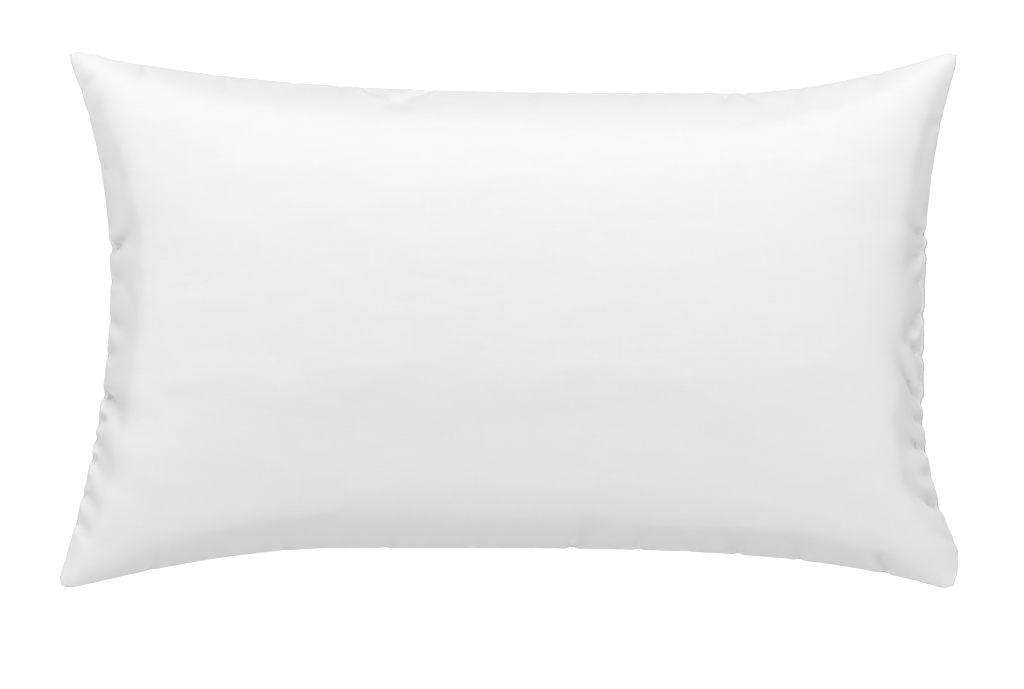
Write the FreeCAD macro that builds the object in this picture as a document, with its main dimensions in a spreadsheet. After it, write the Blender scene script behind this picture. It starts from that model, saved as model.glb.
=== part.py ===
"""A plump bed pillow, lying flat on its back panel.

Two cotton ticking panels are sewn together all round, inside out, and turned, so that the
seam allowances lie inside along the seam. The allowances are finished with an overlock. The
pillow is filled through an opening in the middle of one short side, which is then closed with a
topstitch through a flat lip. Inside is a core of loose fibre between two sheets of batting.

Millimetres. X runs along the pillow, Y across it, Z up. The origin is on the floor, under the
middle of the pillow.
"""
import FreeCAD, Part
import Sketcher
import math
import os

# name, value, what it is
SIZES = [
    ("ear_length", 750, "from ear tip to ear tip along a long side"),
    ("ear_width", 448, "from ear tip to ear tip along a short side"),
    ("side_hollow", 33, "how far a long side curves in at its middle"),
    ("end_hollow", 34, "how far a short side curves in at its middle"),
    ("seam_height", 92, "the seam above the floor"),
    ("crown_height", 108, "the top of the pillow above the seam"),
    ("belly_depth", 112, "the underside below the seam, before the floor flattens it"),
    ("edge_rise", 2.4, "height of the fold of each panel at the seam"),
    ("ear_fullness", 0.2, "how full the ears are, as a share of a plain crowned form"),
    ("ticking", 0.5, "thickness of the ticking"),
    ("allowance", 10, "width of the seam allowance inside"),
    ("thread", 0.4, "diameter of the sewing thread"),
    ("seam_inset", 1.4, "the seam's thread inside the fold"),
    ("overlock_width", 5, "width of the overlock on the allowances"),
    ("opening_length", 136, "length of the closed filling opening"),
    ("lip_width", 3, "width of the flat lip at the closed opening"),
    ("stitch_pitch", 3.4, "length of one stitch of the closing seam"),
    ("stitch_gap", 0.9, "gap between two stitches of the closing seam"),
    ("batt", 18, "thickness of each sheet of batting"),
    ("core_setback", 8.7, "how far inside the overlock the core starts"),
    ("ease", 0.3, "gap between the ticking, the batting, the core and the threads"),
]

# The control net of a crowned face. The net's lines crowd together towards the seam.
NET_LENGTHWAYS = 31
NET_CROSSWAYS = 23
NET_REACH = math.radians(84)
# How fast the fullness falls away towards an ear: a high power keeps it in the ear.
EAR_POWER = 6
DEGREE = 3
UP = FreeCAD.Vector(0, 0, 1)

doc = FreeCAD.newDocument("bed_pillow")


def make_sheet():
    sheet = doc.addObject("Spreadsheet::Sheet", "sizes")
    for row, (name, value, note) in enumerate(SIZES, start=1):
        sheet.set("A%d" % row, name)
        sheet.set("B%d" % row, str(value))
        sheet.set("C%d" % row, note)
        sheet.setAlias("B%d" % row, name)
    doc.recompute()
    return sheet


sizes = make_sheet()


def bind(obj, **expressions):
    """Bind properties to the sheet: a double underscore stands for a dot."""
    for prop, expression in expressions.items():
        obj.setExpression(prop.replace("__", "."), expression)


# ---------------------------------------------------------------- the crowned form

def arc_depth(half_chord, rise, along):
    """Depth of a circular arc below its chord's ends, at a distance from its middle."""
    radius = (half_chord ** 2 + rise ** 2) / (2 * rise)
    return math.sqrt(radius ** 2 - along ** 2) - (radius - rise)


def net_angles(count):
    return [NET_REACH * (2 * i / (count - 1) - 1) for i in range(count)]


def crown_share(angle):
    """1 at the middle of the pillow and 0 at the seam, steep at the seam."""
    return (math.cos(angle) - math.cos(NET_REACH)) / (1 - math.cos(NET_REACH))


def net_point(along, across, inset, edge, crown):
    """A point of the net. The flanks of the long direction are fuller than an ellipse."""
    half_length = sizes.ear_length / 2 - inset
    half_width = sizes.ear_width / 2 - inset
    u = math.sin(along) / math.sin(NET_REACH)
    v = math.sin(across) / math.sin(NET_REACH)
    x = u * (half_length - arc_depth(half_width, sizes.end_hollow, v * half_width))
    y = v * (half_width - arc_depth(half_length, sizes.side_hollow, u * half_length))
    share = crown_share(along) * math.sqrt(1 + math.sin(along) ** 2) * crown_share(across)
    share *= 1 - (1 - sizes.ear_fullness) * (u * v) ** EAR_POWER
    return FreeCAD.Vector(x, y, edge + (crown - edge) * share)


def knots(count):
    spans = count - DEGREE
    return list(range(spans + 1)), [DEGREE + 1] + [1] * (spans - 1) + [DEGREE + 1]


def crowned_face(inset, edge, crown):
    """A crowned face over the pillow's outline, from the height edge to the height crown."""
    net = [[net_point(a, b, inset, edge, crown) for b in net_angles(NET_CROSSWAYS)]
           for a in net_angles(NET_LENGTHWAYS)]
    u_knots, u_mults = knots(NET_LENGTHWAYS)
    v_knots, v_mults = knots(NET_CROSSWAYS)
    surface = Part.BSplineSurface()
    surface.buildFromPolesMultsKnots(net, u_mults, v_mults, u_knots, v_knots,
                                     False, False, DEGREE, DEGREE)
    return surface.toShape()


def closed_solid(faces):
    shell = Part.Shell(faces)
    shell.sewShape()
    solid = Part.Solid(shell)
    if solid.Volume < 0:
        solid.reverse()
    return solid


def moved_rim(face, lift):
    return [line.translated(FreeCAD.Vector(0, 0, lift)) for line in face.OuterWire.Edges]


def upright_sides(face, lift):
    return [line.extrude(FreeCAD.Vector(0, 0, lift)) for line in face.OuterWire.Edges]


def dome(inset, edge, crown):
    """The solid between a crowned face and the seam's plane, with upright sides at its rim."""
    seam = sizes.seam_height
    face = crowned_face(inset, seam + edge, seam + crown)
    base = Part.Face(Part.Wire(moved_rim(face, -edge)))
    return closed_solid([face, base] + upright_sides(face, -edge))


def cushion(inset, rim, crown, belly):
    """A solid with a crowned face up and down, and upright sides of the height 2 rim between."""
    seam = sizes.seam_height
    upper = crowned_face(inset, seam + rim, seam + crown)
    lower = crowned_face(inset, seam - rim, seam - belly)
    return closed_solid([upper, lower] + upright_sides(upper, -2 * rim))


def feature(name, shape):
    obj = doc.addObject("Part::Feature", name)
    obj.Shape = shape
    return obj


# ---------------------------------------------------------------- tools for the cuts

SPACE_HEIGHT = "4 * (sizes.seam_height + sizes.crown_height)"


def space_above(name, floor):
    """A box over the whole pillow, from the height that the expression gives."""
    box = doc.addObject("Part::Box", name)
    bind(box, Length="2 * sizes.ear_length", Width="2 * sizes.ear_width", Height=SPACE_HEIGHT,
         Placement__Base__x="-sizes.ear_length", Placement__Base__y="-sizes.ear_width",
         Placement__Base__z=floor)
    return box


def space_below(name, ceiling):
    """A box under the whole pillow, up to the height that the expression gives."""
    return space_above(name, "%s - %s" % (ceiling, SPACE_HEIGHT))


def boolean(kind, name, base, tool):
    obj = doc.addObject("Part::" + kind, name)
    obj.Base = base
    obj.Tool = tool
    return obj


def join(name, pieces):
    obj = doc.addObject("Part::MultiFuse", name)
    obj.Shapes = pieces
    return obj


def make_outline():
    """The seam's line: four arcs that curve in, from ear tip to ear tip."""
    sketch = doc.addObject("Sketcher::SketchObject", "seam_outline")
    bind(sketch, Placement__Base__z="sizes.seam_height")
    for side in range(4):
        lengthways = side % 2 == 0
        half_chord = (sizes.ear_length if lengthways else sizes.ear_width) / 2
        reach = (sizes.ear_width if lengthways else sizes.ear_length) / 2
        rise = sizes.side_hollow if lengthways else sizes.end_hollow
        radius = (half_chord ** 2 + rise ** 2) / (2 * rise)
        outwards = math.pi / 2 * (1 - side)
        far = reach - rise + radius
        centre = FreeCAD.Vector(far * math.cos(outwards), far * math.sin(outwards), 0)
        half_turn = math.asin(half_chord / radius)
        inwards = outwards + math.pi
        sketch.addGeometry(Part.ArcOfCircle(Part.Circle(centre, UP, radius),
                                            inwards - half_turn, inwards + half_turn), False)
    constrain_outline(sketch)
    return sketch


def constrain_outline(sketch):
    """Each side starts at an ear tip, ends where the next side starts, and has its radius."""
    start, end, origin = 1, 2, (-1, 1)
    signs = [(-1, 1), (1, 1), (1, -1), (-1, -1)]
    for side, (sign_x, sign_y) in enumerate(signs):
        sketch.addConstraint(Sketcher.Constraint("Coincident", side, end, (side + 1) % 4, start))
        for axis, sign, size in (("X", sign_x, "ear_length"), ("Y", sign_y, "ear_width")):
            place = sign * getattr(sizes, size) / 2
            index = sketch.addConstraint(
                Sketcher.Constraint("Distance" + axis, *origin, side, start, place))
            sketch.setExpression("Constraints[%d]" % index, "%d * sizes.%s / 2" % (sign, size))
        chord, rise = ("ear_length", "side_hollow") if side % 2 == 0 else ("ear_width", "end_hollow")
        index = sketch.addConstraint(
            Sketcher.Constraint("Radius", side, sketch.Geometry[side].Radius))
        sketch.setExpression(
            "Constraints[%d]" % index,
            "(sizes.{0} ^ 2 / 4 + sizes.{1} ^ 2) / (2 * sizes.{1})".format(chord, rise))


outline = make_outline()


def inset_line(name, inset):
    """The seam's line moved inwards by what the expression gives, or outwards if it is negative."""
    line = doc.addObject("Part::Offset2D", name)
    line.Source = outline
    line.Join = "Intersection"
    line.setExpression("Value", "-(%s)" % inset)
    return line


def slab(name, line, bottom, height):
    """The area inside a line as a plate: bottom counts from the seam's plane."""
    plate = doc.addObject("Part::Extrusion", name)
    plate.Base = line
    plate.DirMode = "Custom"
    plate.Dir = UP
    plate.Solid = True
    bind(plate, LengthFwd=height, Placement__Base__z=bottom)
    return plate


# ---------------------------------------------------------------- the ticking

LIP_HEIGHT = "2 * sizes.ticking"


def opening_stretch(name, inwards, outwards):
    """A box over the filling opening, from inside the seam's line to outside it."""
    box = doc.addObject("Part::Box", name)
    bow = "sizes.opening_length ^ 2 / (2 * sizes.ear_width)"
    bind(box, Length="(%s) + (%s) + (%s)" % (inwards, outwards, bow), Width="sizes.opening_length",
         Height="2 * (sizes.edge_rise + sizes.thread)",
         Placement__Base__x="sizes.ear_length / 2 - sizes.end_hollow - (%s)" % inwards,
         Placement__Base__y="-sizes.opening_length / 2",
         Placement__Base__z="sizes.seam_height - sizes.edge_rise - sizes.thread")
    return box


def make_lip(name, bottom):
    """The flat lip at the closed opening: the panel and its allowance, folded under."""
    plate = slab(name + "_plate", inset_line(name + "_edge", "-sizes.lip_width"), bottom, LIP_HEIGHT)
    inside = slab(name + "_inside", inset_line(name + "_root", "sizes.ticking / 2"), bottom, LIP_HEIGHT)
    border = boolean("Cut", name + "_border", plate, inside)
    stretch = opening_stretch(name + "_stretch", "sizes.ticking", "sizes.lip_width")
    return boolean("Common", name, border, stretch)


def make_panel(name, outer, cavity, lip, allowance_hole):
    """A panel: its crowned form less the cavity, with the allowance left standing inside."""
    shell = boolean("Cut", name + "_shell", outer, cavity)
    ring = boolean("Cut", name + "_ring", shell, allowance_hole)
    return join(name, [ring, lip])


def make_panels():
    rise, ticking = sizes.edge_rise, sizes.ticking
    top_form = feature("top_form", dome(0, rise, sizes.crown_height))
    top_room = feature("top_room", dome(ticking, rise - ticking, sizes.crown_height - ticking))
    above_allowance = space_above("above_allowance", "sizes.seam_height + sizes.ticking")
    top_cavity = boolean("Common", "top_cavity", top_room, above_allowance)

    low_form = feature("low_form", dome(0, -rise, -sizes.belly_depth))
    low_room = feature("low_room", dome(ticking, ticking - rise, ticking - sizes.belly_depth))
    below_allowance = space_below("below_allowance", "sizes.seam_height - sizes.ticking")
    low_cavity = boolean("Common", "low_cavity", low_room, below_allowance)
    on_floor = boolean("Common", "low_form_on_floor", low_form, space_above("above_floor", "0"))
    above_ticking = space_above("above_ticking", "sizes.ticking")
    in_ticking = boolean("Common", "low_cavity_on_ticking", low_cavity, above_ticking)

    inner = inset_line("allowance_edge", "sizes.allowance")
    hole = slab("allowance_hole", inner, "-2 * sizes.ticking", "4 * sizes.ticking")
    make_panel("top_panel", top_form, top_cavity, make_lip("top_lip", "0"), hole)
    make_panel("bottom_panel", on_floor, in_ticking, make_lip("low_lip", "-" + LIP_HEIGHT), hole)


# ---------------------------------------------------------------- the threads

def thread_all_round(name, inset, side):
    """A thread on the upper or lower allowance, all round but for the filling opening.

    It is drawn with a square section, as wide as the thread.
    """
    bottom = "sizes.ticking" if side > 0 else "-sizes.ticking - sizes.thread"
    outer = inset_line(name + "_outer", "%s - sizes.thread / 2" % inset)
    inner = inset_line(name + "_inner", "%s + sizes.thread / 2" % inset)
    ring = boolean("Cut", name + "_ring", slab(name + "_plate", outer, bottom, "sizes.thread"),
                   slab(name + "_gap", inner, bottom, "sizes.thread"))
    return sewn(name, ring)


def sewn(name, ring):
    return boolean("Cut", name, ring, doc.getObject("filling_opening"))


def make_seam_threads():
    """The lockstitch that joins the panels: one thread lies on each allowance, at the fold."""
    thread_all_round("seam_needle_thread", "sizes.seam_inset", 1)
    thread_all_round("seam_bobbin_thread", "sizes.seam_inset", -1)


def looper(name, side):
    """A thread of the overlock: it covers one face of the allowances and half of their edge."""
    outer = inset_line(name + "_outer", "sizes.allowance - sizes.overlock_width")
    inner = inset_line(name + "_inner", "sizes.allowance + sizes.thread")
    cover = "sizes.ticking + sizes.thread"
    bottom = "0" if side > 0 else "-(%s)" % cover
    band = boolean("Cut", name + "_band", slab(name + "_plate", outer, bottom, cover),
                   slab(name + "_gap", inner, bottom, cover))
    held = slab(name + "_held", outer, "0" if side > 0 else "-sizes.ticking", "sizes.ticking")
    middle = slab(name + "_middle", inset_line(name + "_edge", "sizes.allowance"),
                  "-sizes.ticking", "2 * sizes.ticking")
    allowance = boolean("Cut", name + "_allowance", held, middle)
    return sewn(name, boolean("Cut", name + "_ring", band, allowance))


def make_overlock():
    """The overlock on the allowances: its needle's thread runs beside its two loopers' threads."""
    looper("overlock_upper_thread", 1)
    looper("overlock_lower_thread", -1)
    thread_all_round("overlock_needle_thread",
                     "sizes.allowance - sizes.overlock_width - sizes.thread", 1)


def stitch_row(name, side):
    """Stitches along the middle of the lip, on its upper or lower face."""
    half_width = sizes.ear_width / 2
    radius = (half_width ** 2 + sizes.end_hollow ** 2) / (2 * sizes.end_hollow)
    centre_x = sizes.ear_length / 2 - sizes.end_hollow + radius
    row_radius = radius - sizes.lip_width / 2
    height = sizes.seam_height + side * (2 * sizes.ticking + sizes.thread / 2)
    count = int(sizes.opening_length / sizes.stitch_pitch)
    length = sizes.stitch_pitch - sizes.stitch_gap
    stitches = []
    for i in range(count):
        angle = (i - (count - 1) / 2) * sizes.stitch_pitch / row_radius
        along = FreeCAD.Vector(math.sin(angle), math.cos(angle), 0)
        middle = FreeCAD.Vector(centre_x - row_radius * math.cos(angle),
                                row_radius * math.sin(angle), height)
        stitches.append(Part.makeCylinder(sizes.thread / 2, length, middle - along * length / 2, along))
    return feature(name, Part.makeCompound(stitches))


def make_closing_seam():
    stitch_row("closing_needle_thread", 1)
    stitch_row("closing_bobbin_thread", -1)


# ---------------------------------------------------------------- the fill

def make_fill():
    rise, crown, belly = sizes.edge_rise, sizes.crown_height, sizes.belly_depth
    out = sizes.ticking + sizes.ease
    within = out + sizes.batt
    core = within + sizes.ease
    core_inset = sizes.allowance + sizes.thread + sizes.core_setback
    rim = sizes.ticking + sizes.thread + 2 * sizes.ease
    hollow = cushion(core_inset - sizes.ease, rim, crown - within, belly - within)
    heart = feature("batting_room", hollow)

    top_fill = feature("upper_batting_form", dome(out, rise - out, crown - out))
    clear = "sizes.seam_height %s (sizes.ticking + sizes.thread + sizes.ease)"
    above_threads = space_above("above_threads", clear % "+")
    upper = boolean("Common", "upper_batting_blank", top_fill, above_threads)
    boolean("Cut", "upper_batting", upper, heart)

    low_fill = feature("lower_batting_form", dome(out, out - rise, out - belly))
    below_threads = space_below("below_threads", clear % "-")
    lower = boolean("Common", "lower_batting_hung", low_fill, below_threads)
    floor = space_above("above_lower_ticking", "sizes.ticking + sizes.ease")
    blank = boolean("Common", "lower_batting_blank", lower, floor)
    on_batting = space_above("above_batting", "sizes.ticking + sizes.ease + sizes.batt")
    boolean("Cut", "lower_batting", blank, boolean("Common", "batting_hollow", heart, on_batting))

    core_form = feature("core_form", cushion(core_inset, rim - sizes.ease, crown - core, belly - core))
    core_floor = space_above("above_core_floor", "sizes.ticking + 2 * sizes.ease + sizes.batt")
    boolean("Common", "fibre_core", core_form, core_floor)


# ---------------------------------------------------------------- build, check and write

# each sub-part and how many solids it has
SUB_PARTS = {
    "top_panel": 1, "bottom_panel": 1,
    "upper_batting": 1, "lower_batting": 1, "fibre_core": 1,
    "seam_needle_thread": 1, "seam_bobbin_thread": 1,
    "overlock_needle_thread": 1, "overlock_upper_thread": 1, "overlock_lower_thread": 1,
    "closing_needle_thread": None, "closing_bobbin_thread": None,
}


def check(obj):
    if any(word in obj.State for word in ("Invalid", "Error")):
        raise RuntimeError("%s: %s" % (obj.Name, obj.State))


def write_parts():
    os.makedirs("parts", exist_ok=True)
    for name, solids in SUB_PARTS.items():
        obj = doc.getObject(name)
        obj.Label = name
        shape = obj.Shape
        if shape.isNull() or not shape.isValid():
            raise RuntimeError(name + " has no valid shape")
        if solids is not None and len(shape.Solids) != solids:
            raise RuntimeError("%s has %d solids" % (name, len(shape.Solids)))
        shape.exportStep("parts/%s.step" % name)
        print("%-24s %3d solids %12.1f mm3" % (name, len(shape.Solids), shape.Volume))


doc.recompute()
make_panels()
opening_stretch("filling_opening", "sizes.allowance + 2 * sizes.thread", "sizes.lip_width")
make_seam_threads()
make_overlock()
make_closing_seam()
make_fill()
doc.recompute()
for each in doc.Objects:
    check(each)
write_parts()
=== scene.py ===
"""A plump white bed pillow, lying flat, seen straight from above.

The casing is two cotton panels sewn together all round. Blender's Cloth blows them up from
their flat cut around a full form, then the gathers along the seams are pressed in. Inside are a
sheet of batting under each panel and a core of loose fibre.

Metres. X runs along the pillow, Y across it, Z up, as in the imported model.
"""

import math

import bpy
import numpy as np
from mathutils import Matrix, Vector, noise


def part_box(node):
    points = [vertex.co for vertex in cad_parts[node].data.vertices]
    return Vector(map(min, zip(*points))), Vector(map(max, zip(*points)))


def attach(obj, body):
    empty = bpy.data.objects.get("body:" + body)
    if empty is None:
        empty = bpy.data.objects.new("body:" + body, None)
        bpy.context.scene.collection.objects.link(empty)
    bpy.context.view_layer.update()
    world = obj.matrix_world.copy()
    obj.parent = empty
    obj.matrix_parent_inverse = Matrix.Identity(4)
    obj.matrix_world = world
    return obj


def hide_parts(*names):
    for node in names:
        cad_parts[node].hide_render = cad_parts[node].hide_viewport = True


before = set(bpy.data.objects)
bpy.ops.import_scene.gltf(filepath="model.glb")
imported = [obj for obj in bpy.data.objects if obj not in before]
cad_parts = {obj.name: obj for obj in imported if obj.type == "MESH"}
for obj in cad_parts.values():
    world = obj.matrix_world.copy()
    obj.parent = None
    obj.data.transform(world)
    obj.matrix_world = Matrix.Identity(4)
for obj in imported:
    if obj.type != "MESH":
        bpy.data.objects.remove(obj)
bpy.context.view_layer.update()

# ---------------------------------------------------------------- sizes from the frame

SEAM_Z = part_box("top_panel")[0].z
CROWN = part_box("top_panel")[1].z - SEAM_Z
# The full form's depth under the seam, how far of it would lie below the floor, and the
# softness of the edge of the patch that the floor presses flat.
BELLY = 0.112
DEEPEST = 0.02
FLOOR_SOFTNESS = 0.008
OPENING_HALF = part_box("closing_needle_thread")[1].y
TICKING = 0.0005
ALLOWANCE = 0.010

# Ear tips in plan, clockwise from the far left one, seen from above.
FAR_LEFT = (-0.3725, 0.2280)
FAR_RIGHT = (0.3805, 0.2270)
NEAR_RIGHT = (0.3775, -0.2270)
NEAR_LEFT = (-0.3790, -0.2270)

# How each side curves in between its ears: where it is deepest, as a share of the half side,
# how deep, the powers of its curve before and after the deepest place, and the shares of the
# half side at its two ends that run straight, along the blunt end of an ear.
FAR_SIDE = (0.50, 0.0352, 3.6, 1.7, 0.02, 0.02)
NEAR_SIDE = (-0.38, 0.0352, 1.7, 4.4, 0.02, 0.02)
LEFT_SIDE = (0.08, 0.0405, 1.8, 2.2, 0.03, 0.0)
RIGHT_SIDE = (-0.17, 0.0310, 2.4, 2.8, 0.16, 0.0)

# The grid that is blown up: its cells narrow towards the seam. The finished panel has finer cells.
CELLS_LONG = 104
CELLS_WIDE = 66
EDGE_CELLS = (0.0028, 0.0036, 0.0048, 0.0062)
FINER = 3
NET_REACH = math.radians(84)
EAR_FULLNESS = 0.8
EAR_POWER = 6
# how far the tip of an ear is rounded off, and over what length
TIP_ROUND = 0.0036
TIP_REACH = 0.0095


# ---------------------------------------------------------------- the full form

def side_depth(share, side):
    """How far a side lies inside the line between its ear tips."""
    middle, hollow, power_low, power_high, blunt_low, blunt_high = side
    low = np.clip((middle - share) / (middle + 1 - blunt_low), 0, 1) ** power_low
    high = np.clip((share - middle) / (1 - middle - blunt_high), 0, 1) ** power_high
    return hollow * (1 - low - high)


def between(a, b, share):
    return a + (b - a) * share


def plan(u, v):
    """The place in plan of u and v, which go from -1 to 1 between the sides."""
    across, along = (v + 1) / 2, (u + 1) / 2
    left = between(NEAR_LEFT[0], FAR_LEFT[0], across) + side_depth(v, LEFT_SIDE)
    right = between(NEAR_RIGHT[0], FAR_RIGHT[0], across) - side_depth(v, RIGHT_SIDE)
    near = between(NEAR_LEFT[1], NEAR_RIGHT[1], along) + side_depth(u, NEAR_SIDE)
    far = between(FAR_LEFT[1], FAR_RIGHT[1], along) - side_depth(u, FAR_SIDE)
    x, y = between(left, right, along), between(near, far, across)
    for tip_x, tip_y in (FAR_LEFT, FAR_RIGHT, NEAR_RIGHT, NEAR_LEFT):
        pull = TIP_ROUND * np.exp(-((x - tip_x) ** 2 + (y - tip_y) ** 2) / TIP_REACH ** 2)
        x, y = x - math.copysign(1, tip_x) * pull, y - math.copysign(1, tip_y) * pull
    return x, y


def crown_share(u):
    """1 in the middle and 0 at the seam, steep at the seam."""
    angle = np.arcsin(np.clip(u * math.sin(NET_REACH), -1, 1))
    return (np.cos(angle) - math.cos(NET_REACH)) / (1 - math.cos(NET_REACH)), np.sin(angle)


def rise(u, v):
    """The height over the seam, from 0 to 1."""
    along, slope = crown_share(u)
    across, _ = crown_share(v)
    share = along * np.sqrt(1 + slope ** 2) * across
    return share * (1 - (1 - EAR_FULLNESS) * np.abs(u * v) ** EAR_POWER)


def on_floor(z):
    """Heights with the part below the floor pressed flat onto it, over a soft edge."""
    pressed = (z + np.sqrt(z * z + FLOOR_SOFTNESS ** 2)) / 2
    lowest = (math.sqrt(DEEPEST ** 2 + FLOOR_SOFTNESS ** 2) - DEEPEST) / 2
    return np.maximum(pressed - lowest, 0)


def form(u, v, side):
    """Points of the full form: side is 1 on the top panel and -1 on the bottom one."""
    x, y = plan(u, v)
    if side > 0:
        z = SEAM_Z + CROWN * rise(u, v)
    else:
        z = on_floor(SEAM_Z - BELLY * rise(u, v))
    return np.stack([x, y, z], axis=-1)


# ---------------------------------------------------------------- the flat cut

def cut_lines(length, cells):
    """The places of a grid's lines across a length, closer together at both ends."""
    edge = np.cumsum((0,) + EDGE_CELLS)
    inner = np.linspace(edge[-1], length - edge[-1], cells - 2 * len(EDGE_CELLS) + 1)
    return np.concatenate([edge[:-1], inner, length - edge[:-1][::-1]]) - length / 2


def arc_lengths(points, axis):
    steps = np.linalg.norm(np.diff(points, axis=axis), axis=-1)
    start = np.zeros_like(np.take(steps, [0], axis=axis))
    return np.concatenate([start, np.cumsum(steps, axis=axis)], axis=axis)


SPREAD_ROUNDS = 14


def spread_evenly(u, v, side, shares_long, shares_wide):
    """Slides the grid over the form until its rows and columns are spaced as the cut is."""
    for _ in range(SPREAD_ROUNDS):
        along = arc_lengths(form(u, v, side), 0)
        for j in range(u.shape[1]):
            u[:, j] = np.interp(shares_long * along[-1, j], along[:, j], u[:, j])
        across = arc_lengths(form(u, v, side), 1)
        for i in range(v.shape[0]):
            v[i] = np.interp(shares_wide * across[i, -1], across[i], v[i])
    return u, v


def shares(lines):
    return (lines - lines[0]) / (lines[-1] - lines[0])


def start_form(cut_long, cut_wide):
    """Both panels' grids on the full form, sharing their seam."""
    long_shares, wide_shares = shares(cut_long), shares(cut_wide)
    panels = []
    for side in (1, -1):
        u, v = np.meshgrid(2 * long_shares - 1, 2 * wide_shares - 1, indexing="ij")
        u, v = spread_evenly(u, v, side, long_shares, wide_shares)
        panels.append(form(u, v, side))
    return panels


# The cut of each panel between its seams: what arches over the middle of the form, and a little.
CUT_LONG, CUT_WIDE = 0.776, 0.480
cut = (cut_lines(CUT_LONG, CELLS_LONG), cut_lines(CUT_WIDE, CELLS_WIDE))
panels = start_form(*cut)


# ---------------------------------------------------------------- the cloth

def numbered(rows, columns):
    """The vertex number of each point of a grid."""
    return np.arange(rows * columns).reshape(rows, columns)


def is_seam(rows, columns):
    mask = np.zeros((rows, columns), bool)
    mask[[0, -1], :] = True
    mask[:, [0, -1]] = True
    return mask


def pair_indices():
    """The vertex number of each grid point, for the top and the bottom panel."""
    top = numbered(CELLS_LONG + 1, CELLS_WIDE + 1)
    bottom = top.copy()
    inner = ~is_seam(*top.shape)
    bottom[inner] = top.size + np.arange(inner.sum())
    return top, bottom


def quads(index, flip):
    a, b, c, d = index[:-1, :-1], index[1:, :-1], index[1:, 1:], index[:-1, 1:]
    order = (d, c, b, a) if flip else (a, b, c, d)
    return np.stack([part.ravel() for part in order], axis=1)


def mesh_object(name, points, faces):
    mesh = bpy.data.meshes.new(name)
    mesh.from_pydata([tuple(p) for p in points], [], [tuple(map(int, f)) for f in faces])
    mesh.update()
    obj = bpy.data.objects.new(name, mesh)
    bpy.context.scene.collection.objects.link(obj)
    return obj


# The most that the cloth may move, at the seam and from SEAM_HOLD away from it.
MOST_AT_SEAM = 0.0010
MOST_MOVEMENT = 0.006
SEAM_HOLD = 0.040


def seam_distance(lines):
    """How far each grid point is from the seam, on the flat cut."""
    long, wide = np.meshgrid(*lines, indexing="ij")
    return np.minimum(CUT_LONG / 2 - np.abs(long), CUT_WIDE / 2 - np.abs(wide))


def finer_weights(cells):
    """The weights that interpolate a row of points smoothly, with FINER places to each cell."""
    places = np.arange(cells * FINER + 1) / FINER
    cell = np.minimum(places.astype(int), cells - 1)
    t = places - cell
    weights = np.zeros((len(places), cells + 1))
    shares_of = ((-1, (-t + 2 * t ** 2 - t ** 3) / 2), (0, (2 - 5 * t ** 2 + 3 * t ** 3) / 2),
                 (1, (t + 4 * t ** 2 - 3 * t ** 3) / 2), (2, (t ** 3 - t ** 2) / 2))
    rows = np.arange(len(places))
    for step, share in shares_of:
        number = cell + step
        # past an end, the row goes on in a straight line
        before, after = number < 0, number > cells
        inside = ~(before | after)
        np.add.at(weights, (rows[inside], number[inside]), share[inside])
        np.add.at(weights, (rows[before], 0), 2 * share[before])
        np.add.at(weights, (rows[before], 1), -share[before])
        np.add.at(weights, (rows[after], cells), 2 * share[after])
        np.add.at(weights, (rows[after], cells - 1), -share[after])
    return weights


def finer(grid):
    along, across = finer_weights(CELLS_LONG), finer_weights(CELLS_WIDE)
    return np.einsum("ai,bj,ijk->abk", along, across, grid, optimize=True)


fine_cut = (finer_weights(CELLS_LONG) @ cut[0], finer_weights(CELLS_WIDE) @ cut[1])
ROWS, COLUMNS = len(fine_cut[0]), len(fine_cut[1])


# ---------------------------------------------------------------- the gathers

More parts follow.
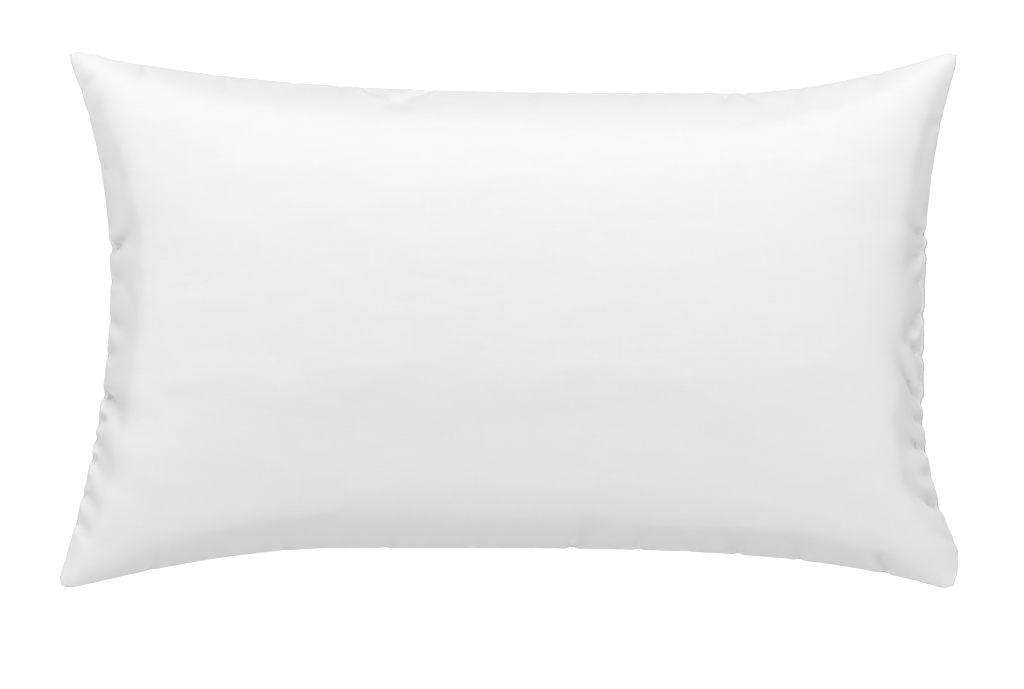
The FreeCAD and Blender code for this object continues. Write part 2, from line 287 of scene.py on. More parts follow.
# The larger gathers of each side: place along it, depth, how far in it reaches, and its slant.
GATHERS = {
    "left": [
        (0.193, 0.0042, 0.033, 0.5), (0.172, 0.0034, 0.024, 0.3), (0.130, 0.0030, 0.022, -0.2),
        (0.061, 0.0106, 0.040, 0.3), (0.033, 0.0056, 0.029, 0.1), (0.000, 0.0056, 0.031, -0.2),
        (-0.030, 0.0051, 0.026, 0.2), (-0.062, 0.0106, 0.044, -0.3), (-0.085, 0.0056, 0.029, 0.2),
        (-0.099, 0.0066, 0.033, -0.5), (-0.115, 0.0066, 0.037, -0.4), (-0.146, 0.0051, 0.031, -0.3),
        (-0.168, 0.0046, 0.026, -0.4),
    ],
    "right": [
        (0.166, 0.0028, 0.022, -0.2), (0.120, 0.0024, 0.022, 0.1), (0.071, 0.0078, 0.029, 0.2),
        (0.059, 0.0067, 0.037, -0.3), (0.030, 0.0028, 0.024, 0.1), (0.005, 0.0062, 0.035, -0.4),
        (-0.030, 0.0062, 0.037, 0.5), (-0.068, 0.0085, 0.055, 0.7), (-0.086, 0.0057, 0.029, 0.4),
        (-0.108, 0.0068, 0.040, 0.3), (-0.130, 0.0038, 0.026, 0.1), (-0.156, 0.0095, 0.044, 0.5),
        (-0.185, 0.0038, 0.029, 0.5),
    ],
    "far": [
        (-0.310, 0.0035, 0.044, 0.2), (-0.245, 0.0035, 0.024, 0.3), (-0.179, 0.0035, 0.022, 0.1),
        (-0.141, 0.0026, 0.020, 0.3), (-0.121, 0.0040, 0.033, 0.9), (-0.066, 0.0044, 0.037, -0.8),
        (0.020, 0.0018, 0.020, 0.2), (0.105, 0.0022, 0.020, 0.1), (0.183, 0.0044, 0.026, -0.2),
        (0.198, 0.0031, 0.029, 0.5), (0.244, 0.0031, 0.022, -0.2), (0.310, 0.0031, 0.033, -0.3),
    ],
    "near": [
        (-0.300, 0.0031, 0.033, 0.3), (-0.190, 0.0022, 0.022, 0.1), (-0.104, 0.0035, 0.024, 0.2),
        (-0.030, 0.0018, 0.020, 0.1), (0.053, 0.0075, 0.033, 0.3), (0.109, 0.0048, 0.026, 0.1),
        (0.150, 0.0022, 0.022, -0.2), (0.192, 0.0053, 0.029, -0.3), (0.244, 0.0044, 0.029, -0.2),
        (0.316, 0.0064, 0.035, -0.3),
    ],
}
# The small gathers between them: mean spacing, greatest depth and reach.
SMALL_GATHERS = {
    "left": (0.014, 0.0018, 0.020),
    "right": (0.015, 0.0016, 0.020),
    "far": (0.018, 0.0010, 0.015),
    "near": (0.018, 0.0010, 0.015),
}


GATHER_SEED = 3


def all_gathers(side):
    """The listed gathers and the small random ones between them."""
    rng = np.random.default_rng([GATHER_SEED, sum(map(ord, side))])
    half = 0.95 * (CUT_WIDE if side in ("left", "right") else CUT_LONG) / 2
    spacing, depth, reach = SMALL_GATHERS[side]
    small = []
    place = -half
    while place < half:
        small.append((place, depth * rng.uniform(0.2, 1), reach * rng.uniform(0.6, 1.3),
                      rng.uniform(-0.4, 0.4)))
        place += spacing * rng.uniform(0.6, 1.5)
    return GATHERS[side] + small


# A gather's width at the seam, and what its depth and the distance from the seam add to it.
FOLD_WIDTH, WIDTH_BY_DEPTH, WIDTH_BY_DISTANCE = 0.0026, 0.15, 0.22
# the share of its depth that it has at the seam, and where it has all of it
DEPTH_AT_SEAM = 0.25
FULL_DEPTH_AT = 0.007
RIDGE_SHARE = 0.45


def fold(place, away, gather):
    """Depth of a gather: shallow at the taut seam, deepest beside it, then it fans out and fades."""
    centre, depth, reach, slant = gather
    width = FOLD_WIDTH + WIDTH_BY_DEPTH * depth + WIDTH_BY_DISTANCE * away
    offset = (place - centre - slant * away) / width
    valley = (1 - RIDGE_SHARE * offset ** 2) * np.exp(-0.5 * offset ** 2)
    deepening = np.sin(np.clip(away / FULL_DEPTH_AT, 0, 1) * math.pi / 2)
    start = DEPTH_AT_SEAM + (1 - DEPTH_AT_SEAM) * deepening
    return depth * valley * start * np.exp(-(away / reach) ** 1.4)


# Broad shallow hollows where the fill is uneven: place, half length, half width and depth.
HOLLOWS = ((-0.050, -0.090, 0.210, 0.030, 0.0024), (0.020, 0.055, 0.260, 0.045, 0.0012),
           (0.235, -0.020, 0.050, 0.110, 0.0016), (-0.255, -0.030, 0.040, 0.090, 0.0012))
RUMPLE_DEPTH = 0.0011
RUMPLE_SIZE = (0.075, 0.038, 0.05)


def uneven(points):
    """How deep the broad hollows and the soft rumples of the fill are, at each point."""
    x, y = points[..., 0], points[..., 1]
    depth = np.zeros_like(x)
    for middle_x, middle_y, long, wide, most in HOLLOWS:
        depth += most * np.exp(-((x - middle_x) / long) ** 4 - ((y - middle_y) / wide) ** 2)
    flat = points.reshape(-1, 3) / RUMPLE_SIZE
    rumple = np.array([noise.fractal(Vector(p), 0.9, 2.0, 3) for p in flat]).reshape(x.shape)
    held = np.clip(seam_distance(fine_cut) / SEAM_HOLD, 0, 1)
    return (depth + RUMPLE_DEPTH * rumple) * held


def gathered(points, panel_side):
    """The panel with its hollows and gathers pressed in along its normals."""
    long, wide = np.meshgrid(*fine_cut, indexing="ij")
    x_place, y_place = points[..., 0], points[..., 1]
    depth = uneven(points)
    for side, place, away in (("left", y_place, CUT_LONG / 2 + long),
                              ("right", y_place, CUT_LONG / 2 - long),
                              ("far", x_place, CUT_WIDE / 2 - wide),
                              ("near", x_place, CUT_WIDE / 2 + wide)):
        for gather in all_gathers(side):
            depth = depth + fold(place, away, gather)
    return points - grid_normals(points, panel_side) * depth[..., None]


def grid_normals(points, panel_side):
    """Outward normals; those of the seam lie in its plane, so that both panels share them."""
    along = np.gradient(points, axis=0)
    across = np.gradient(points, axis=1)
    normals = np.cross(along, across) * panel_side
    normals[is_seam(*points.shape[:2]), 2] = 0
    normals /= np.maximum(np.linalg.norm(normals, axis=-1, keepdims=True), 1e-12)
    return normals


SIM_FRAMES = 16


def sew_and_fill(panels):
    """The casing blown up from its flat cut around the full form."""
    top, bottom = pair_indices()
    count = bottom.max() + 1
    start = np.zeros((count, 3))
    start[bottom.ravel()] = panels[1].reshape(-1, 3)
    start[top.ravel()] = panels[0].reshape(-1, 3)
    flat = np.zeros((count, 3))
    long, wide = np.meshgrid(*cut, indexing="ij")
    for index in (top, bottom):
        flat[index.ravel(), 0] = long.ravel()
        flat[index.ravel(), 1] = wide.ravel()
    faces = np.concatenate([quads(top, False), quads(bottom, True)])
    obj = mesh_object("casing", start, faces)
    obj.shape_key_add(name="start")
    rest = obj.shape_key_add(name="flat")
    rest.data.foreach_set("co", flat.astype(np.float32).ravel())
    simulate(obj, rest)
    points = shaped_points(obj)
    bpy.data.objects.remove(obj)
    return points[top], points[bottom]


def simulate(obj, rest):
    cloth = obj.modifiers.new("cloth", "CLOTH")
    settings = cloth.settings
    settings.quality = 6
    settings.mass = 0.2
    settings.air_damping = 1
    settings.tension_stiffness = 40
    settings.compression_stiffness = 40
    settings.shear_stiffness = 6
    settings.bending_stiffness = 0.05
    settings.tension_damping = 2
    settings.compression_damping = 2
    settings.rest_shape_key = rest
    settings.use_pressure = True
    settings.uniform_pressure_force = 0.5
    settings.effector_weights.gravity = 0
    cloth.collision_settings.use_collision = False
    cloth.point_cache.frame_start = 1
    cloth.point_cache.frame_end = SIM_FRAMES
    for number in range(1, SIM_FRAMES + 1):
        bpy.context.scene.frame_set(number)


def shaped_points(obj):
    shaped = obj.evaluated_get(bpy.context.evaluated_depsgraph_get())
    mesh = shaped.to_mesh()
    points = np.zeros(len(mesh.vertices) * 3, np.float32)
    mesh.vertices.foreach_get("co", points)
    shaped.to_mesh_clear()
    return points.reshape(-1, 3).astype(float)


def capped(start, moved):
    """The moved points, with each movement bent smoothly towards the most that it may be."""
    away = np.clip(seam_distance(cut) / SEAM_HOLD, 0, 1)[..., None]
    most = between(MOST_AT_SEAM, MOST_MOVEMENT, away)
    step = moved - start
    size = np.linalg.norm(step, axis=-1, keepdims=True)
    return start + step * most / np.sqrt(most ** 2 + size ** 2)


def settled(points, top):
    """The blown-up panel brought back between the floor and the model's top."""
    points = points.copy()
    if top:
        share = (points[..., 2] - SEAM_Z) / (points[..., 2].max() - SEAM_Z)
        points[..., 2] = np.where(share > 0, SEAM_Z + CROWN * share, points[..., 2])
    else:
        sunk = max(0, -points[..., 2].min())
        depth = (SEAM_Z - points[..., 2]) / (SEAM_Z + sunk)
        points[..., 2] += sunk * np.clip(depth, 0, 1) ** 2
        points[..., 2] = np.maximum(points[..., 2], 0)
    return points


def make_grids():
    grids = panels
    blown = sew_and_fill(panels)
    grids = [capped(start, moved) for start, moved in zip(panels, blown)]
    grids = [gathered(finer(points), side) for points, side in zip(grids, (1, -1))]
    return [settled(points, top) for points, top in zip(grids, (True, False))]


# ---------------------------------------------------------------- the closed opening

LIP_WIDTH = 0.0018
LIP_HALF = 0.0006
LIP_END = 0.005
# The panel's last rows, from its edge inwards: how far each lies outside the seam, and its height.
LIP_ROWS = ((-1, LIP_WIDTH, 0.0003), (-2, 0.0, LIP_HALF), (-3, -0.0012, 0.0016))


def lip_weight(y):
    """1 along the closed filling opening, and 0 a little past its ends."""
    t = np.clip((OPENING_HALF + LIP_END - np.abs(y)) / LIP_END, 0, 1)
    return t * t * (3 - 2 * t)


def with_lip(points, side):
    """The panel with the flat topstitched lip at the middle of the right side."""
    points = points.copy()
    weight = lip_weight(points[-1, :, 1])
    root = points[-1, :, 0].copy()
    for row, x_shift, height in LIP_ROWS:
        flat_z = SEAM_Z + side * height
        points[row, :, 0] = between(points[row, :, 0], root + x_shift, weight)
        points[row, :, 2] = between(points[row, :, 2], flat_z, weight)
    return points


# ---------------------------------------------------------------- the panels

FLAP_ROWS = (0.003, 0.0065, ALLOWANCE)
FLAP_GAP = 0.00015
CORNER_REACH = 0.045
MITRE = 1.66


def rim_loop(index):
    """The vertex numbers round a panel, counter-clockwise seen from above."""
    return np.concatenate([index[:-1, 0], index[-1, :-1], index[:0:-1, -1], index[0, :0:-1]])


def corner_numbers():
    """Where the corners are in the rim's loop."""
    return np.cumsum([0, ROWS - 1, COLUMNS - 1, ROWS - 1])


def loop_inwards(loop):
    """Unit vectors that point into the pillow, square to the closed loop, in plan."""
    ahead = np.roll(loop, -1, axis=0) - np.roll(loop, 1, axis=0)
    inwards = np.stack([-ahead[:, 1], ahead[:, 0], np.zeros(len(loop))], axis=1)
    return inwards / np.maximum(np.linalg.norm(inwards, axis=1, keepdims=True), 1e-12)


def side_points(loop, side):
    """One side of the loop, from corner to corner."""
    corners = list(corner_numbers()) + [len(loop)]
    numbers = np.arange(corners[side], corners[side + 1] + 1) % len(loop)
    return numbers, loop[numbers]


def inset_loop(loop, inset):
    """The loop moved inwards, with its sides mitred at the corners."""
    result = loop.copy()
    for side in range(4):
        numbers, points = side_points(loop, side)
        steps = np.linalg.norm(np.diff(points, axis=0), axis=1)
        along = np.concatenate([[0], np.cumsum(steps)])
        length = along[-1]
        start = MITRE * inset
        squeeze = (CORNER_REACH - start) / CORNER_REACH
        place = along.copy()
        near = along < CORNER_REACH
        place[near] = start + along[near] * squeeze
        far = length - along < CORNER_REACH
        place[far] = length - start - (length - along[far]) * squeeze
        tangent = np.gradient(points, along, axis=0)
        for _ in range(6):
            tangent[1:-1] = (tangent[:-2] + 2 * tangent[1:-1] + tangent[2:]) / 4
        tangent /= np.linalg.norm(tangent, axis=1, keepdims=True)
        inwards = np.stack([-tangent[:, 1], tangent[:, 0], np.zeros(len(points))], axis=1)
        moved = points + inwards * inset
        result[numbers] = np.stack([np.interp(place, along, moved[:, k]) for k in range(3)], axis=1)
    return result


def panel_points(points, side):
    """The panel's outside, then the rows of its seam allowance, folded in along the seam."""
    rim = rim_loop(numbered(ROWS, COLUMNS))
    flat = points.reshape(-1, 3)
    rows = [flat]
    for inset in FLAP_ROWS:
        row = inset_loop(flat[rim], inset)
        row[:, 2] = SEAM_Z + side * FLAP_GAP
        rows.append(row)
    return np.concatenate(rows)


def panel_faces(side):
    index = numbered(ROWS, COLUMNS)
    faces = [quads(index, side < 0)]
    outer = rim_loop(index)
    for number in range(len(FLAP_ROWS)):
        inner = ROWS * COLUMNS + number * len(outer) + np.arange(len(outer))
        next_outer, next_inner = np.roll(outer, -1), np.roll(inner, -1)
        order = (next_outer, outer, inner, next_inner)
        faces.append(np.stack(order if side > 0 else order[::-1], axis=1))
        outer = inner
    return np.concatenate(faces)


def cut_places():
    """Each vertex's place on the flat cut and distance from the seam, below 0 in the allowance."""
    long, wide = np.meshgrid(*fine_cut, indexing="ij")
    flat = np.stack([long.ravel(), wide.ravel(), np.zeros(long.size)], axis=1)
    away = seam_distance(fine_cut).ravel()
    rim = flat[rim_loop(numbered(ROWS, COLUMNS))]
    places, distances = [flat], [away]
    for inset in FLAP_ROWS:
        reach = np.array([CUT_LONG, CUT_WIDE, 1]) / 2
        places.append(rim * (1 + inset / reach * (np.abs(rim) > reach - 1e-6)))
        distances.append(np.full(len(rim), -inset))
    return np.concatenate(places), np.concatenate(distances)


def add_places(mesh):
    """Stores the place on the flat cut and the distance from the seam for the cotton's pattern and its
    stitch dimples, whose painted shade darkens the colour.
    """
    flat, away = cut_places()
    layer = mesh.attributes.new("flat", "FLOAT_VECTOR", "POINT")
    layer.data.foreach_set("vector", flat.astype(np.float32).ravel())
    layer = mesh.attributes.new("seam", "FLOAT", "POINT")
    layer.data.foreach_set("value", away.astype(np.float32))


def apply_modifiers(obj):
    shaped = obj.evaluated_get(bpy.context.evaluated_depsgraph_get())
    mesh = bpy.data.meshes.new_from_object(shaped)
    obj.modifiers.clear()
    obj.data = mesh
    mesh.name = obj.name
    mesh.shade_smooth()


def make_panel(name, points, side):
    obj = mesh_object(name, panel_points(points, side), panel_faces(side))
    add_places(obj.data)
    thick = obj.modifiers.new("thickness", "SOLIDIFY")
    thick.thickness = TICKING * 0.8
    thick.offset = -1
    apply_modifiers(obj)
    return obj


# ---------------------------------------------------------------- tubes for the threads

TUBE_END = 0.45


def tube(paths, radius, sides):
    """Points and faces of round tubes with narrowed ends along paths, each an array of points."""
    all_points, all_faces, count = [], [], 0
    turn = np.linspace(0, 2 * math.pi, sides, endpoint=False)
    for path in paths:
        ahead = np.gradient(path, axis=0)
        ahead /= np.maximum(np.linalg.norm(ahead, axis=1, keepdims=True), 1e-12)
        first = np.cross(ahead, (0.0, 0.0, 1.0))
        weak = np.linalg.norm(first, axis=1) < 0.1
        first[weak] = np.cross(ahead[weak], (0.3, 0.9, 0.0))
        first /= np.linalg.norm(first, axis=1, keepdims=True)
        second = np.cross(ahead, first)
        size = np.full(len(path), radius)
        size[[0, -1]] *= TUBE_END
        ring = first[:, None] * np.cos(turn)[:, None] + second[:, None] * np.sin(turn)[:, None]
        all_points.append((path[:, None] + ring * size[:, None, None]).reshape(-1, 3))
        rows = np.arange(len(path) * sides).reshape(len(path), sides) + count
        beside = np.roll(rows, -1, axis=1)
        faces = np.stack([rows[:-1], beside[:-1], beside[1:], rows[1:]], axis=-1).reshape(-1, 4)
        all_faces += faces.tolist()
        all_faces += [rows[0][::-1].tolist(), rows[-1].tolist()]
        count += len(path) * sides
    return np.concatenate(all_points), all_faces


def make_tubes(name, paths, radius, sides=6):
    points, faces = tube(paths, radius, sides)
    obj = mesh_object(name, points, faces)
    obj.data.shade_smooth()
    return obj


# ---------------------------------------------------------------- the threads

THREAD = 0.00019
SEAM_PITCH = 0.0028
OVERLOCK_PITCH = 0.0030
OVERLOCK_WIDTH = 0.005
SEAM_INSET = 0.0030
# how far from an ear's tip the rows of stitches stop, where the folded cloth leaves them no room
TIP_UNSEWN = 0.014


def measured(loop):
    """The loop opened at its start, and the distance along it."""
    closed = np.concatenate([loop, loop[:1]])
    steps = np.linalg.norm(np.diff(closed, axis=0), axis=1)
    return closed, np.concatenate([[0], np.cumsum(steps)])


def at(line, along, places):
    return np.stack([np.interp(places, along, line[:, k]) for k in range(3)], axis=-1)


def sewn_places(loop, pitch):
    """Distances along the loop where stitches start, not in the filling opening or the ear tips."""
    line, along = measured(loop)
    count = int(along[-1] / pitch)
    places = np.arange(count) * along[-1] / count
    points = at(line, along, places)
    skipped = (points[:, 0] > 0) & (np.abs(points[:, 1]) < OPENING_HALF)
    for tip in line[corner_numbers()]:
        skipped |= np.linalg.norm(points - tip, axis=1) < TIP_UNSEWN
    return line, along, places[~skipped], along[-1] / count


def lockstitches(name, loop, inset, height, pitch):
    """A row of stitches on one face of the allowances, each dipping into the cloth at its ends."""
    line, along, places, step = sewn_places(inset_loop(loop, inset), pitch)
    shares = np.array([0.06, 0.2, 0.5, 0.8, 0.94])
    lifts = np.array([-0.5, 0.5, 1.0, 0.5, -0.5]) * THREAD
    paths = []
    for place in places:
        path = at(line, along, place + shares * step)
        path[:, 2] = SEAM_Z + height + math.copysign(1, height) * lifts
        paths.append(path)
    return make_tubes(name, paths, THREAD)


def overlock_loops(name, loop, side):
    """A looper's thread: it zigzags over one face of the allowances and round their edge."""
    inner, outer = ALLOWANCE + 0.0004, ALLOWANCE - OVERLOCK_WIDTH
    line, along, places, step = sewn_places(inset_loop(loop, (inner + outer) / 2), OVERLOCK_PITCH)
    inwards = loop_inwards(line[:-1])
    inwards = np.concatenate([inwards, inwards[:1]])
    half = (inner - outer) / 2
    face = side * (TICKING + FLAP_GAP + 0.0006)
    # share of the stitch, share of the width from the needle's line to the edge, and height
    shape = ((0.00, -1.0, 1.0), (0.22, -0.3, 1.1), (0.42, 0.6, 1.1), (0.50, 1.0, 0.3),
             (0.58, 0.6, 1.1), (0.78, -0.3, 1.1), (0.97, -1.0, 1.0))
    paths = []
    for place in places:
        share = np.array([point[0] for point in shape])
        path = at(line, along, place + share * step)
        square = at(inwards, along, place + share * step)
        path += square * half * np.array([point[1] for point in shape])[:, None]
        path[:, 2] = SEAM_Z + face * np.array([point[2] for point in shape])
        paths.append(path)
    return make_tubes(name, paths, THREAD, sides=5)


STITCH_COUNT = 40
CLOSING_THREAD = 0.00026


def closing_stitches(name, points, side):
    """The topstitches along the middle of the lip, each sunk into the cloth at its ends."""
    line = (points[-1] + points[-2]) / 2
    y = line[:, 1]
    pitch = 2 * OPENING_HALF / STITCH_COUNT
    lift = np.array([-0.0003, 0.0001, 0.0003, 0.0001, -0.0003])
    paths = []
    for number in range(STITCH_COUNT):
        start = -OPENING_HALF + pitch * (number + 0.12)
        places = start + np.array([0, 0.15, 0.5, 0.85, 1]) * pitch * 0.76
        path = np.stack([np.interp(places, y, line[:, 0]), places,
                         SEAM_Z + side * (LIP_HALF - 0.00005 + lift)], axis=1)
        paths.append(path)
    return make_tubes(name, paths, CLOSING_THREAD, sides=8)


# ---------------------------------------------------------------- the fill

BATT = 0.018
CORE_INSET = 0.0191
CORE_RIM = 0.0012
FILL_ROWS, FILL_COLUMNS = 85, 55
# how many cells of the panel's grid lie outside the batting, at the seam
BATT_TRIM = 12


def inner_form(inset, rim, crown, side, rows=FILL_ROWS, columns=FILL_COLUMNS):
    """A crowned surface inside the casing: inset all round, rim and crown over the seam."""
    reach = np.sin(np.linspace(-NET_REACH, NET_REACH, rows)) / math.sin(NET_REACH)
    width = np.sin(np.linspace(-NET_REACH, NET_REACH, columns)) / math.sin(NET_REACH)
    u, v = np.meshgrid(reach, width, indexing="ij")
    x, y = plan(u, v)
    x = x * (1 - inset / FAR_RIGHT[0])
    y = y * (1 - inset / FAR_RIGHT[1])
    z = SEAM_Z + side * (rim + (crown - rim) * rise(u, v))
    return np.stack([x, y, z], axis=-1)


def fluffed(points, side, depth, size):
    """Uneven tufts pressed into a surface, so that it stays inside its place."""
    normals = np.cross(np.gradient(points, axis=0), np.gradient(points, axis=1)) * side
    normals /= np.maximum(np.linalg.norm(normals, axis=-1, keepdims=True), 1e-12)
    flat = points.reshape(-1, 3)
    tuft = np.array([noise.fractal(Vector(p) / size, 0.6, 2.1, 4) for p in flat])
    tuft = np.clip(0.5 + 0.5 * tuft, 0, 1).reshape(points.shape[:2])
    tuft[[0, -1]] = 0
    tuft[:, [0, -1]] = 0
    return points - normals * (tuft * depth)[..., None]


def closed_between(name, outer, inner, flip):
    """A closed mesh between two grids of the same size, joined along their rims."""
    rows, columns = outer.shape[:2]
    index = numbered(rows, columns)
    shifted = index + rows * columns
    faces = [quads(index, flip), quads(shifted, not flip)]
    rim, far = rim_loop(index), rim_loop(shifted)
    band = (np.roll(rim, -1), rim, far, np.roll(far, -1))
    faces.append(np.stack(band[::-1] if flip else band, axis=1))
    obj = mesh_object(name, np.concatenate([outer.reshape(-1, 3), inner.reshape(-1, 3)]),
                      np.concatenate(faces))
    obj.data.shade_smooth()
    return obj


def resampled(grid, rows, columns, trim):
    """The grid at fewer rows and columns, without its outermost cells."""
    inner = grid[trim:-trim, trim:-trim]
    i = np.linspace(0, inner.shape[0] - 1, rows)
    j = np.linspace(0, inner.shape[1] - 1, columns)
    low_i = np.minimum(i.astype(int), inner.shape[0] - 2)
    low_j = np.minimum(j.astype(int), inner.shape[1] - 2)
    a, b = (i - low_i)[:, None, None], (j - low_j)[None, :, None]
    corner = inner[low_i][:, low_j], inner[low_i + 1][:, low_j]
    other = inner[low_i][:, low_j + 1], inner[low_i + 1][:, low_j + 1]
    return (corner[0] * (1 - a) + corner[1] * a) * (1 - b) + (other[0] * (1 - a) + other[1] * a) * b


def make_batting(name, grid, side):
    """A sheet of batting against the inside of a panel."""
    outside = resampled(grid, FILL_ROWS, FILL_COLUMNS, BATT_TRIM)
    normals = np.cross(np.gradient(outside, axis=0), np.gradient(outside, axis=1)) * side
    normals /= np.maximum(np.linalg.norm(normals, axis=-1, keepdims=True), 1e-12)
    outside = outside - normals * 0.0012
    least = SEAM_Z + side * 0.0016
    limit = np.maximum if side > 0 else np.minimum
    outside[..., 2] = limit(outside[..., 2], least)
    outside = fluffed(outside, side, 0.0008, 0.012)
    full = CROWN if side > 0 else BELLY
    inside = inner_form(CORE_INSET - 0.0003, CORE_RIM + 0.0003, full - BATT - 0.0008, side)
    if side < 0:
        inside[..., 2] = np.maximum(inside[..., 2], BATT + 0.0012)
    inside = fluffed(inside, side, -0.0015, 0.015)
    return closed_between(name, outside, inside, side < 0)


def make_core(name):
    """The core of loose fibre, tufted all over."""
    upper = inner_form(CORE_INSET, CORE_RIM, CROWN - BATT - 0.0011, 1)
    lower = inner_form(CORE_INSET, CORE_RIM, BELLY - BATT - 0.0011, -1)
    lower[..., 2] = np.maximum(lower[..., 2], BATT + 0.0016)
    upper = fluffed(upper, 1, 0.004, 0.022)
    lower = fluffed(lower, -1, 0.004, 0.022)
    return closed_between(name, upper, lower, False)


# ---------------------------------------------------------------- materials

class Nodes:
    """Short calls to add and link a material's nodes."""

    def __init__(self, name):
        self.material = bpy.data.materials.new(name)
        self.material.use_nodes = True
        self.tree = self.material.node_tree
        self.shader = self.tree.nodes["Principled BSDF"]

    def put(self, socket, value):
        if isinstance(value, bpy.types.NodeSocket):
            self.tree.links.new(value, socket)
        else:
            socket.default_value = value

    def add(self, kind, *values, **settings):
        node = self.tree.nodes.new("ShaderNode" + kind)
        for key, value in settings.items():
            setattr(node, key, value)
        for socket, value in zip(node.inputs, values):
            if value is not None:
                self.put(socket, value)
        return node

    def math(self, operation, a, b=None, clamp=False):
        return self.add("Math", a, b, operation=operation, use_clamp=clamp).outputs[0]

    def finish(self, **inputs):
        for name, value in inputs.items():
            self.put(self.shader.inputs[name.replace("_", " ")], value)
        return self.material

    def noise(self, vector, scale, detail=2.0):
        node = self.add("TexNoise")
        self.put(node.inputs["Vector"], vector)
        node.inputs["Scale"].default_value = scale
        node.inputs["Detail"].default_value = detail
        return node.outputs["Fac"]

    def stretched(self, vector, scales):
        """The coordinates scaled by axis, so that a noise of them runs in streaks."""
        return self.add("VectorMath", vector, scales, operation="MULTIPLY").outputs[0]

    def grey(self, share, low, high):
        node = self.add("MapRange")
        self.put(node.inputs["Value"], share)
        node.inputs["To Min"].default_value = low
        node.inputs["To Max"].default_value = high
        value = node.outputs["Result"]
        return self.add("CombineColor", value, value, value).outputs[0]

    def bump(self, height, distance, strength=1.0):
        node = self.add("Bump")
        node.inputs["Strength"].default_value = strength
        node.inputs["Distance"].default_value = distance
        self.put(node.inputs["Height"], height)
        return node.outputs["Normal"]


WEAVE_PITCH = 0.0006
# how far from the seam its stitches pull the cloth in, and how far the painted shade in those dimples
# reaches
STITCH_DIMPLE_AND_SHADE_REACH = 0.0016


def cotton():
    """A fine plain weave with uneven threads, and the pull of the seam's stitches, with painted shade
    darkening the colour in their dimples.
    """
    nodes = Nodes("cotton_ticking")
    flat = nodes.add("Attribute", attribute_name="flat").outputs["Vector"]
    away = nodes.add("Attribute", attribute_name="seam").outputs["Fac"]
    part = nodes.add("SeparateXYZ", flat).outputs
    # threads that are thicker or thinner over some centimetres, lengthways and across
    weft = nodes.noise(nodes.stretched(flat, (26, 900, 1)), 1.0)
    warp = nodes.noise(nodes.stretched(flat, (900, 26, 1)), 1.0)
    slubs = nodes.math("ADD", nodes.math("MULTIPLY", weft, 0.5), nodes.math("MULTIPLY", warp, 0.5))
    turn = 2 * math.pi / WEAVE_PITCH
    over = nodes.math("SINE", nodes.math("MULTIPLY", part["X"], turn))
    under = nodes.math("SINE", nodes.math("MULTIPLY", part["Y"], turn))
    weave = nodes.math("MULTIPLY", over, under)
    # gentle unevenness where the cloth has been handled
    rumple = nodes.noise(flat, 30.0, 3.0)
    crinkle = nodes.noise(nodes.stretched(flat, (55, 170, 1)), 1.0, 4.0)
    share = nodes.math("DIVIDE", nodes.math("ABSOLUTE", away), STITCH_DIMPLE_AND_SHADE_REACH)
    near = nodes.math("SUBTRACT", 1.0, share, clamp=True)
    round_it = nodes.math("ADD", part["X"], part["Y"])
    stitch = nodes.math("SINE", nodes.math("MULTIPLY", round_it, 2 * math.pi / SEAM_PITCH))
    # the stitches' dimples: they sink the cloth in the bump below, and darken the colour as painted shade
    # further down
    pull = nodes.math("MULTIPLY", near, nodes.math("ADD", nodes.math("MULTIPLY", stitch, 0.4), 0.6))
    height = nodes.math("ADD", nodes.math("MULTIPLY", slubs, 0.55), nodes.math("MULTIPLY", weave, 0.12))
    height = nodes.math("ADD", height, nodes.math("MULTIPLY", rumple, 1.6))
    height = nodes.math("ADD", height, nodes.math("MULTIPLY", crinkle, 2.6))
    height = nodes.math("SUBTRACT", height, nodes.math("MULTIPLY", pull, 2.0))
    tone = nodes.math("ADD", slubs, nodes.math("MULTIPLY", weave, 0.06))
    # painted shade: the colour darkens in the stitch dimples along the seam, where shade falls
    tone = nodes.math("SUBTRACT", tone, nodes.math("MULTIPLY", pull, 0.8), clamp=True)
    rough = nodes.add("MapRange", slubs)
    rough.inputs["To Min"].default_value = 0.55
    rough.inputs["To Max"].default_value = 0.75
    return nodes.finish(Base_Color=nodes.grey(tone, 0.855, 0.905), Roughness=rough.outputs["Result"],
                        Sheen_Weight=0.12, Sheen_Roughness=0.4, Specular_IOR_Level=0.35,
                        Normal=nodes.bump(height, 0.00012, 0.8))


PLY_PITCH = 0.0005


def twisted_thread():
    """Two-ply sewing thread: fine slanting plies."""
    nodes = Nodes("sewing_thread")
    place = nodes.add("TexCoord").outputs["Object"]
    part = nodes.add("SeparateXYZ", place).outputs
    lift = nodes.math("MULTIPLY", part["Z"], 1.5)
    slope = nodes.math("ADD", nodes.math("ADD", part["X"], part["Y"]), lift)
    ply = nodes.math("SINE", nodes.math("MULTIPLY", slope, 2 * math.pi / PLY_PITCH))
    fuzz = nodes.noise(place, 4000.0)
    tone = nodes.math("ADD", nodes.math("MULTIPLY", ply, 0.25), fuzz, clamp=True)
    return nodes.finish(Base_Color=nodes.grey(tone, 0.80, 0.90), Roughness=0.5, Sheen_Weight=0.2,
                        Normal=nodes.bump(ply, 0.00004, 0.6))


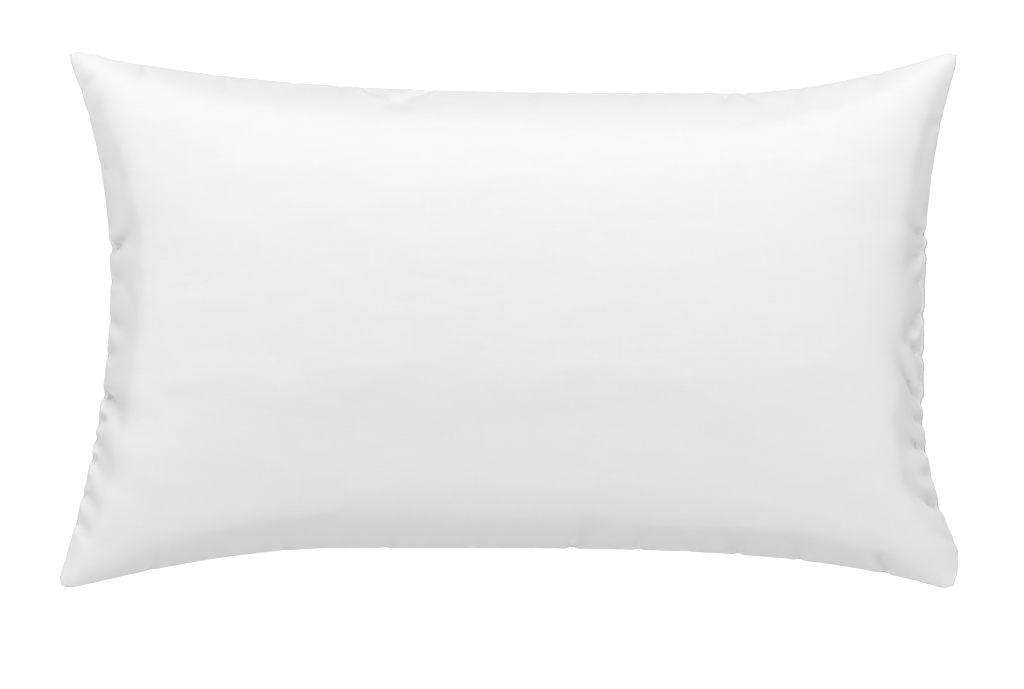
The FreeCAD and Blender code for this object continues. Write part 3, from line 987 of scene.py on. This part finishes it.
def fibre(name, scale, low, high):
    """Tangled white fibres."""
    nodes = Nodes(name)
    place = nodes.add("TexCoord").outputs["Object"]
    bend = nodes.add("TexNoise")
    nodes.put(bend.inputs["Vector"], place)
    bend.inputs["Scale"].default_value = scale / 12
    warped = nodes.stretched(bend.outputs["Color"], (0.03, 0.03, 0.03))
    moved = nodes.add("VectorMath", place, warped, operation="ADD").outputs[0]
    strands = nodes.noise(nodes.stretched(moved, (1.0, 0.12, 0.5)), scale, 4.0)
    crossed = nodes.noise(nodes.stretched(moved, (0.12, 1.0, 0.5)), scale, 4.0)
    tangle = nodes.math("ADD", nodes.math("MULTIPLY", strands, 0.5), nodes.math("MULTIPLY", crossed, 0.5))
    return nodes.finish(Base_Color=nodes.grey(tangle, low, high), Roughness=0.9, Sheen_Weight=0.5,
                        Sheen_Roughness=0.6, Specular_IOR_Level=0.2,
                        Normal=nodes.bump(tangle, 0.0012, 0.9))


# ---------------------------------------------------------------- the pillow

def place(obj, material, slot, *nodes):
    obj.data.materials.clear()
    obj.data.materials.append(material)
    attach(obj, "root")
    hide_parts(*nodes)


def make_pillow():
    grids = make_grids()
    seam = grids[0].reshape(-1, 3)[rim_loop(numbered(ROWS, COLUMNS))]
    ticking, thread = cotton(), twisted_thread()
    batting, loose = fibre("batting_fibre", 900, 0.80, 0.93), fibre("loose_fibre", 500, 0.76, 0.93)
    lipped = [with_lip(grid, side) for grid, side in zip(grids, (1, -1))]
    top = make_panel("top_casing", lipped[0], 1)
    bottom = make_panel("bottom_casing", lipped[1], -1)
    place(top, ticking, "ticking", "top_panel")
    place(bottom, ticking, "ticking", "bottom_panel")

    upper = make_batting("upper_batting_sheet", grids[0], 1)
    lower = make_batting("lower_batting_sheet", grids[1], -1)
    core = make_core("loose_fibre_core")
    place(upper, batting, "batting", "upper_batting")
    place(lower, batting, "batting", "lower_batting")
    place(core, loose, "loose_fibre", "fibre_core")

    level = TICKING + FLAP_GAP + THREAD / 2
    threads = {
        "seam_needle_thread": lockstitches("seam_needle_stitches", seam, SEAM_INSET, level, SEAM_PITCH),
        "seam_bobbin_thread": lockstitches("seam_bobbin_stitches", seam, SEAM_INSET, -level, SEAM_PITCH),
        "overlock_needle_thread": lockstitches(
            "overlock_needle_stitches", seam, ALLOWANCE - OVERLOCK_WIDTH - 0.0004, level, OVERLOCK_PITCH),
        "overlock_upper_thread": overlock_loops("overlock_upper_loops", seam, 1),
        "overlock_lower_thread": overlock_loops("overlock_lower_loops", seam, -1),
        "closing_needle_thread": closing_stitches("closing_needle_stitches", lipped[0], 1),
        "closing_bobbin_thread": closing_stitches("closing_bobbin_stitches", lipped[1], -1),
    }
    for node, obj in threads.items():
        place(obj, thread, "thread", node)


make_pillow()


# ---------------------------------------------------------------- floor, lights and camera

def make_floor():
    floor = mesh_object("floor", [(-6, -6, 0), (6, -6, 0), (6, 6, 0), (-6, 6, 0)], [(0, 1, 2, 3)])
    material = bpy.data.materials.new("pale_floor")
    material.use_nodes = True
    shader = material.node_tree.nodes["Principled BSDF"]
    shader.inputs["Base Color"].default_value = (0.8, 0.8, 0.8, 1)
    shader.inputs["Roughness"].default_value = 0.9
    shader.inputs["Emission Color"].default_value = (1, 1, 1, 1)
    shader.inputs["Emission Strength"].default_value = 0.85
    floor.data.materials.append(material)
    # a cut-out's backdrop: it throws no light back under the pillow
    floor.visible_diffuse = False


def make_light(name, location, size, power):
    light = bpy.data.lights.new(name, "AREA")
    light.shape = "RECTANGLE"
    light.size, light.size_y = size
    light.energy = power
    obj = bpy.data.objects.new(name, light)
    obj.location = location
    obj.rotation_euler = (Vector((0, 0, SEAM_Z)) - obj.location).to_track_quat("-Z", "Y").to_euler()
    bpy.context.scene.collection.objects.link(obj)


# location, size and power of each softbox
LIGHTS = {
    "far_box": ((0, 2.0, 0.75), (1.8, 0.7), 23),
    "far_high_box": ((0, 1.3, 1.9), (1.6, 0.8), 17),
    "left_box": ((-1.8, 0.1, 0.7), (0.9, 1.2), 15),
    "right_box": ((1.8, 0.1, 0.7), (0.9, 1.2), 9),
    "right_high_box": ((1.5, 0.1, 1.6), (0.8, 1.2), 6),
    "near_box": ((0, -2.0, 0.75), (1.8, 0.7), 17),
    "near_high_box": ((0, -1.3, 1.9), (1.6, 0.8), 12),
}


def make_world():
    """A white backdrop all round that doesn't light the pillow."""
    world = bpy.data.worlds.new("studio")
    bpy.context.scene.world = world
    world.use_nodes = True
    world.node_tree.nodes["Background"].inputs["Color"].default_value = (1, 1, 1, 1)
    world.node_tree.nodes["Background"].inputs["Strength"].default_value = 0.95
    world.cycles_visibility.diffuse = False
    world.cycles_visibility.glossy = False


VIEW_WIDTH = 0.8587
CAMERA_HEIGHT = 2.5


def make_camera():
    camera = bpy.data.cameras.new("camera")
    camera.sensor_width = 36
    camera.lens = 36 * CAMERA_HEIGHT / VIEW_WIDTH
    obj = bpy.data.objects.new("camera", camera)
    obj.location = (0.003, -0.020, SEAM_Z + CAMERA_HEIGHT)
    bpy.context.scene.collection.objects.link(obj)
    bpy.context.scene.camera = obj


make_floor()
for name, (location, size, power) in LIGHTS.items():
    make_light(name, location, size, power)
make_world()
make_camera()
bpy.context.scene.view_settings.view_transform = "Standard"
